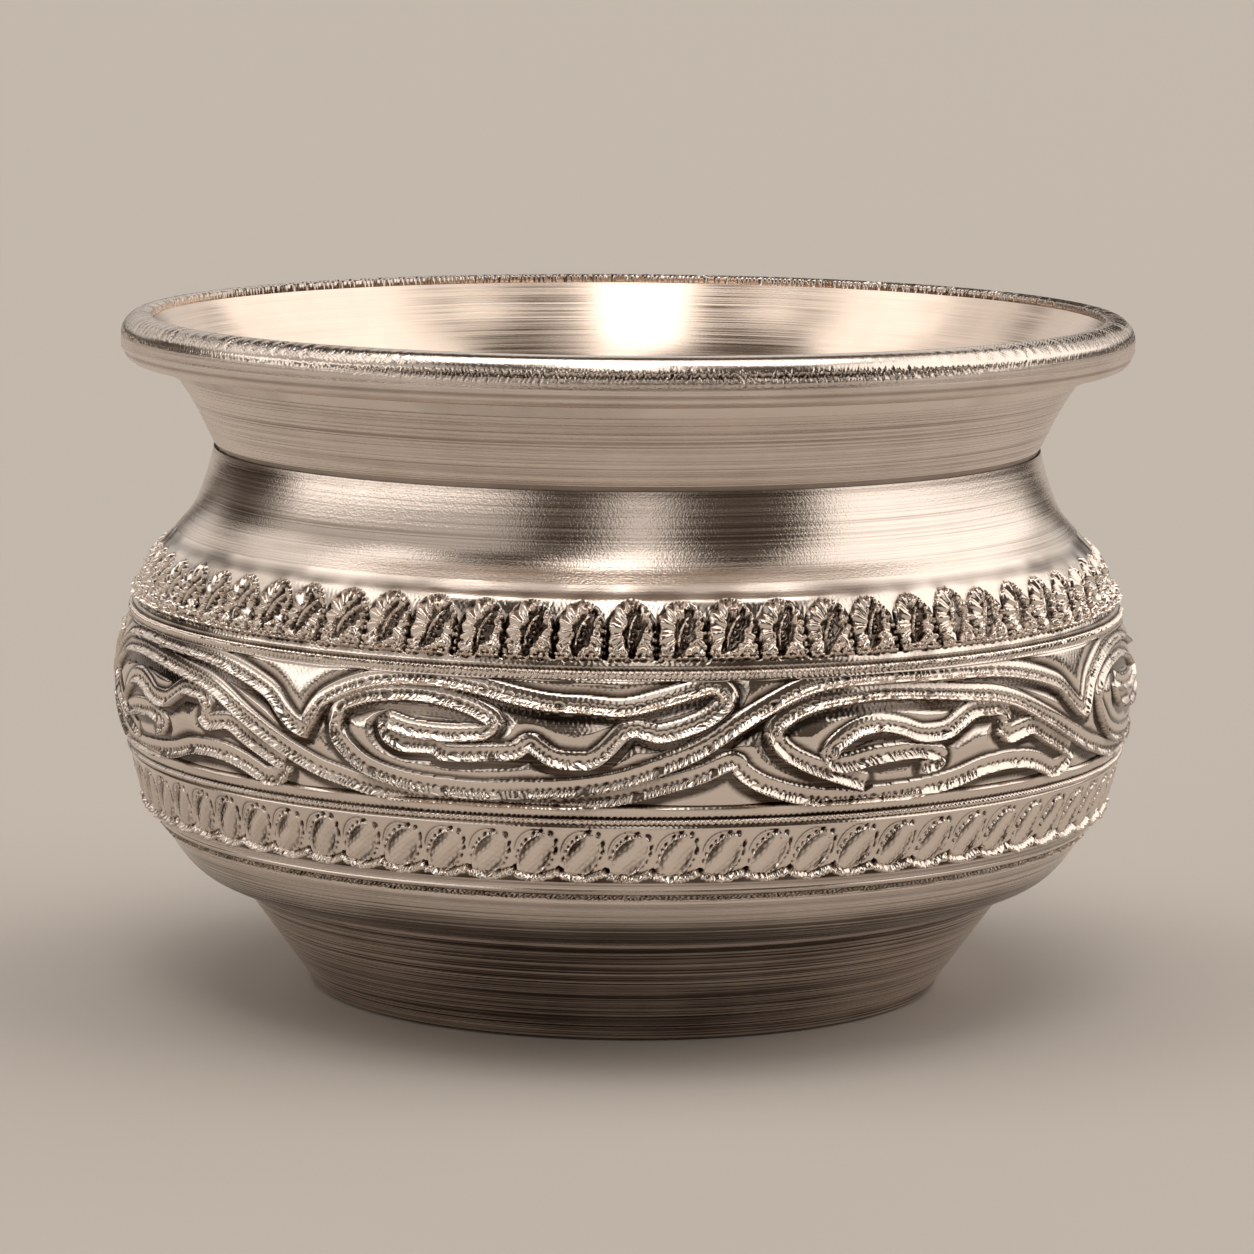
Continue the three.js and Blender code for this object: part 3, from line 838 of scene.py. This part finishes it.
def make_rim():
    """The D-section wire: a plain lower face and a bright-cut crown, in sectors."""
    profile = smooth_curve([(27.9, 37.3), (28.5, 37.3), (29.0, 37.3), (29.4, 37.39), (29.72, 37.65),
                            (29.91, 38.05), (29.985, 38.5), (29.99, 38.95), (29.9, 39.35),
                            (29.68, 39.71), (29.36, 39.98), (28.97, 40.12), (28.55, 40.14),
                            (28.25, 40.04)], 12)
    profile = evenly(profile, 0.085)
    rest = np.array([(28.230, 39.606), (28.8, 39.2), (28.111, 38.255), (27.403, 37.3)])
    section = np.vstack([profile, rest])
    face_rows = int(np.argmax(profile[:, 1] > 38.9))
    turn = np.arange(RIM_COLUMNS) * 360 / RIM_COLUMNS - 180
    surface = rim_relief(profile, turn)
    # Painted shade in the groove and in the cuts of the crescents
    shade = np.clip((blurred(surface, 4) - surface) * 14, 0, 0.85)
    for sector in range(RIM_SECTORS):
        count = RIM_COLUMNS // RIM_SECTORS + 1
        picked = (np.arange(count) + RIM_COLUMNS * sector // RIM_SECTORS) % RIM_COLUMNS
        relief = np.zeros((len(section), count))
        relief[:len(profile)] = surface[:, picked]
        dark = np.zeros(relief.shape)
        dark[:len(profile)] = shade[:, picked]
        start = -180 + 360 / RIM_SECTORS * sector
        piece = turned(f"rim_{sector + 1}", section, [rim_face, bright_cut, inside],
                       [face_rows, len(profile)], relief, dark, start,
                       start + 360 / RIM_SECTORS, RIM_COLUMNS)
        hold(piece, "rim_wire")


make_chased_belly()
make_plain_belly()
make_dish()
make_foot()
make_belly_seam()
make_collar()
make_rim()
# The joins at the foot and the waist take the solder_in_shade finish: painted shade
for seam, finish in (("foot_solder", dark_solder), ("waist_solder", dark_solder),
                     ("rim_solder", hem_metal)):
    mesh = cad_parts[seam].data
    mesh.materials.clear()
    mesh.materials.append(finish)


# Floor, world and camera

FLOOR_COLOUR = (0.54, 0.50, 0.46, 1)


def make_floor():
    half = 6.0        # metres
    mesh = bpy.data.meshes.new("floor")
    corners = [(-half, -half, 0), (half, -half, 0), (half, half, 0), (-half, half, 0)]
    mesh.from_pydata(corners, [], [(0, 1, 2, 3)])
    floor = bpy.data.objects.new("floor", mesh)
    bpy.context.scene.collection.objects.link(floor)
    material, nodes, links, shader = new_material("floor_matt")
    shader.inputs["Base Color"].default_value = FLOOR_COLOUR
    shader.inputs["Roughness"].default_value = 0.8
    mesh.materials.append(material)
    floor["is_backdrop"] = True


def heading(azimuth, elevation):
    """A direction from the bowl: azimuth from the camera's side towards +X."""
    a, e = math.radians(azimuth), math.radians(elevation)
    return (math.sin(a) * math.cos(e), -math.cos(a) * math.cos(e), math.sin(e))


def softbox(nodes, links, sky, azimuth, tilt, half_width, low, high):
    """One inside a rectangle of the sky that faces the bowl, fading over ten degrees at its
    edges. Its axis has an azimuth and a tilt, and low and high are measured from the axis."""
    middle, side = Vector(heading(azimuth, tilt)), Vector(heading(azimuth + 90, 0))
    reaches = []
    for axis in (middle, side, middle.cross(side)):
        dot = nodes.new("ShaderNodeVectorMath")
        dot.operation = "DOT_PRODUCT"
        dot.inputs[1].default_value = axis
        links.new(sky, dot.inputs[0])
        reaches.append(dot.outputs["Value"])
    share = math_node(nodes, links, "GREATER_THAN", reaches[0], 0.0)
    slopes = [math_node(nodes, links, "DIVIDE", reach, reaches[0]) for reach in reaches[1:]]
    sideways = math_node(nodes, links, "ABSOLUTE", slopes[0], 0.0)
    for slope, angle, way in ((sideways, half_width, -1), (slopes[1], low, 1), (slopes[1], high, -1)):
        outer, inner = (math.tan(math.radians(angle + fade * way)) for fade in (-5, 5))
        edge = ramp_node(nodes, links, slope, outer, inner, 0.0, 1.0)
        share = math_node(nodes, links, "MULTIPLY", share, edge)
    return share


# Azimuth and tilt of each softbox's axis, its half width, its low and high edge, its strength
SOFTBOXES = [(4, 0, 8, 16, 40, 0.8), (3, 0, 11, 40, 76, 1.7), (-6, 66, 7, -8, 12, 3.4),
             (6, 66, 11, -12, 12, 0.45), (98, 0, 42, 8, 58, 1.35), (-93, 0, 24, 40, 58, 1.4),
             (-66, 0, 38, 9, 18, 2.0), (-72, 0, 42, 17, 50, 0.42), (-118, 0, 18, 22, 48, 0.8),
             (180, 0, 40, 8, 40, 0.7), (180, 88, 28, -16, 16, 2.65)]


def make_world():
    """A dim warm room with four narrow softboxes one above the other in front, a wide one on
    the right, four on the left, one behind and one overhead."""
    world = bpy.data.worlds.new("studio")
    bpy.context.scene.world = world
    world.use_nodes = True
    nodes, links = world.node_tree.nodes, world.node_tree.links
    sky = nodes.new("ShaderNodeTexCoord").outputs["Generated"]
    total = 0.0
    for azimuth, tilt, half_width, low, high, strength in SOFTBOXES:
        box = softbox(nodes, links, sky, azimuth, tilt, half_width, low, high)
        glow = math_node(nodes, links, "MULTIPLY", box, strength)
        total = math_node(nodes, links, "MAXIMUM", glow, total)
    lit = nodes["Background"]
    lit.inputs["Color"].default_value = (1.0, 0.945, 0.89, 1)
    links.new(total, lit.inputs["Strength"])
    room = nodes.new("ShaderNodeBackground")
    room.inputs["Color"].default_value = (1.0, 0.78, 0.6, 1)
    room.inputs["Strength"].default_value = 0.07
    both = nodes.new("ShaderNodeAddShader")
    links.new(lit.outputs[0], both.inputs[0])
    links.new(room.outputs[0], both.inputs[1])
    links.new(both.outputs[0], nodes["World Output"].inputs["Surface"])


def make_camera():
    """The photograph's view, fitted to the bowl's rims, seams and outline."""
    data = bpy.data.cameras.new("camera")
    data.lens_unit = "FOV"
    data.angle = math.radians(12.56)
    data.clip_start = 0.01
    camera = bpy.data.objects.new("camera", data)
    camera.matrix_world = (Matrix.Translation((0.00007, -0.3373, 0.06863))
                           @ Matrix.Rotation(math.radians(90 - 7.999), 4, "X")
                           @ Matrix.Rotation(math.radians(0.455), 4, "Z"))
    bpy.context.scene.collection.objects.link(camera)
    bpy.context.scene.camera = camera


make_floor()
make_world()
make_camera()
bpy.context.scene.view_settings.view_transform = "Standard"

boxes = {"cad": cad_box, "visual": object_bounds()}
boxes = {label: [[float(value) for value in corner] for corner in box] for label, box in boxes.items()}
